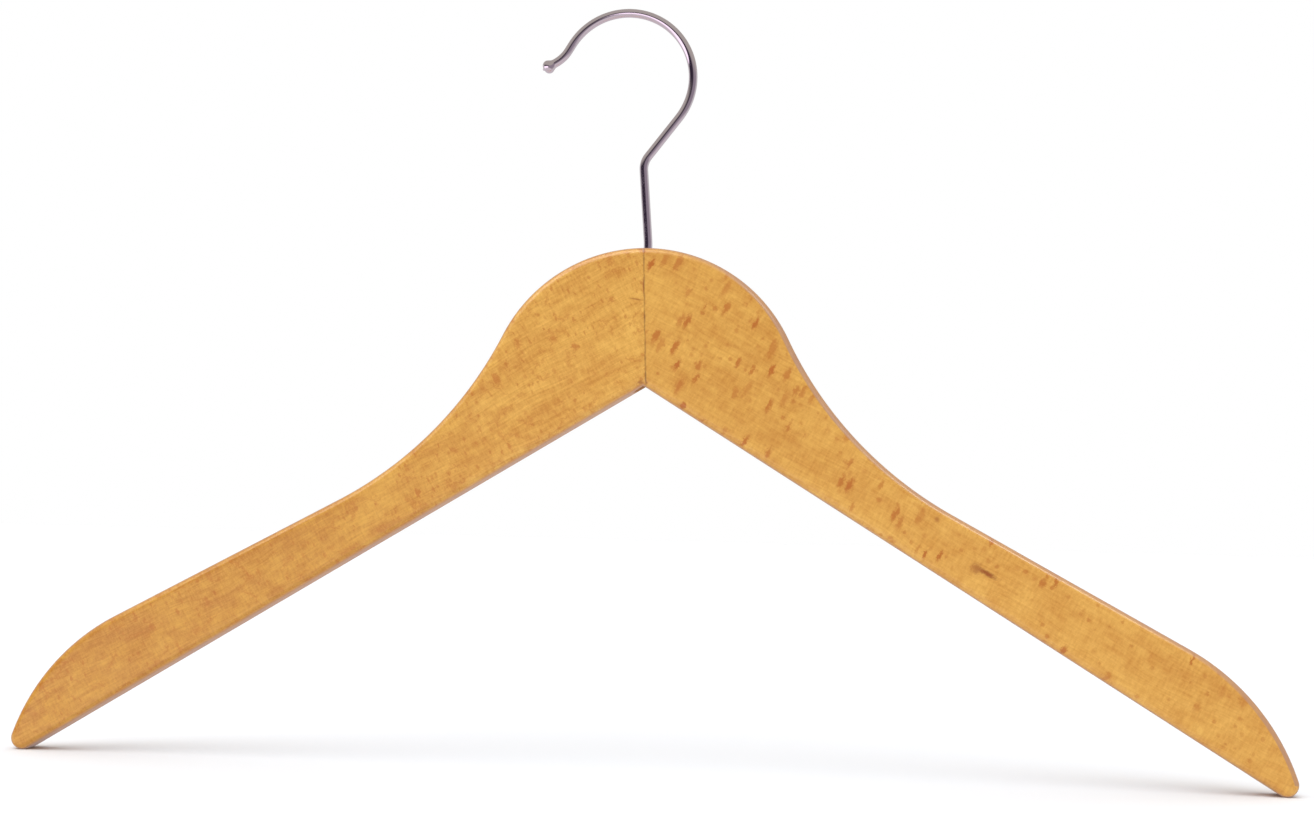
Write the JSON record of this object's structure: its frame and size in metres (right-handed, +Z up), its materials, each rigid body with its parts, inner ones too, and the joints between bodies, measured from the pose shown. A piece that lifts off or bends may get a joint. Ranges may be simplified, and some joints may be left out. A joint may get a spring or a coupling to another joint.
{
  "type": "clothes hanger",
  "caption": "Flat wooden clothes hanger with two sloping arms joined at the crown and a bent wire hook that swivels.",
  "frame": {"origin": "the point inside the top of the hook that rests on a rail", "axes": "+X along the arms, away from the side that the hook opens to; +Y through the wood, from the front face to the back face; +Z up"},
  "size_m": [0.44, 0.012, 0.2637],
  "materials": {
    "beech": "clear satin varnish over beech",
    "chrome": "bright chrome plate over steel wire",
    "zinc": "bright zinc plate"
  },
  "bodies": {
    "hook": {"hook": "chrome", "washer": "zinc", "hex_nut": "zinc"},
    "wood": {"arm_left": "beech", "arm_right": "beech"}
  },
  "joints": [
    {"name": "hook_swivel", "type": "hinge", "parent": "hook", "child": "wood", "pos_m": [0.00872, 0, -0.085], "axis": [0, 0, 1], "continuous": true}
  ]
}
